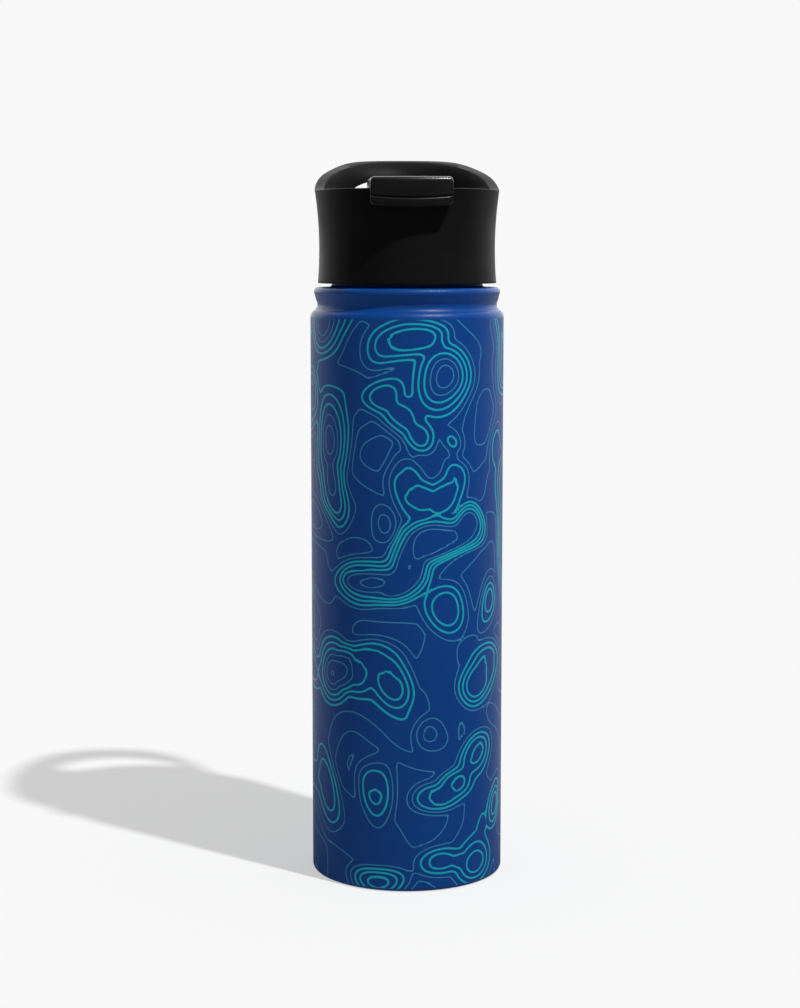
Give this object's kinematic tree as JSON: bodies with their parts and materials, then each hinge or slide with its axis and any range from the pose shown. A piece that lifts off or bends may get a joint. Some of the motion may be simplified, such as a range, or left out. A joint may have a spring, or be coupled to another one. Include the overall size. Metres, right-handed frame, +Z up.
{
  "type": "insulated water bottle",
  "caption": "Double-wall insulated steel bottle with a screw lid, a flip-up drinking tab and a fixed carry loop at the back.",
  "frame": {"origin": "on the bottle's axis, at the surface it stands on", "axes": "+Z up along the bottle's axis, -Y towards the flip tab at the front, +Y towards the carry loop, +X to the right seen from the front"},
  "size_m": [0.073, 0.0796, 0.2727],
  "materials": {
    "powder_coat": "textured royal-blue powder coat with printed contour lines",
    "bare_steel": "bare brushed stainless steel",
    "getter_metal": "dull sintered metal",
    "seal_glass": "dark solder glass bead",
    "lid_plastic": "matte black moulded plastic",
    "arm_plastic": "fine-textured satin black plastic",
    "plug_plastic": "dark grey food-safe plastic",
    "silicone": "soft grey silicone",
    "foam": "white closed-cell foam"
  },
  "bodies": {
    "bottle": {"outer_shell": "powder_coat", "inner_liner": "bare_steel", "base_cover": "bare_steel", "base_plate": "bare_steel", "vacuum_seal": "seal_glass", "getter": "getter_metal"},
    "neck_seal": {"neck_gasket": "silicone"},
    "lid": {"lid_shell": "lid_plastic", "thread_ring": "plug_plastic", "lid_deck": "lid_plastic", "plug_cup": "plug_plastic", "foam_disc": "foam", "vent_valve": "silicone", "hinge_pin": "bare_steel"},
    "flip_arm": {"flip_arm": "arm_plastic", "spout_stopper": "silicone", "vent_stopper": "silicone"}
  },
  "joints": [
    {"name": "lid_rise", "type": "slide", "parent": "bottle", "child": "neck_seal", "axis": [0, 0, 1], "range_m": [0, 0.01247]},
    {"name": "lid_turn", "type": "hinge", "parent": "neck_seal", "child": "lid", "pos_m": [0, 0, 0.232], "axis": [0, 0, 1], "range_deg": [0, 810]},
    {"name": "tab_flip", "type": "hinge", "parent": "lid", "child": "flip_arm", "pos_m": [0, 0.0095, 0.258], "axis": [-1, 0, 0], "range_deg": [0, 110]}
  ],
  "couplings": [
    {"joint": "lid_rise", "follows": "lid_turn", "m_per_rad": 0.00087535}
  ]
}
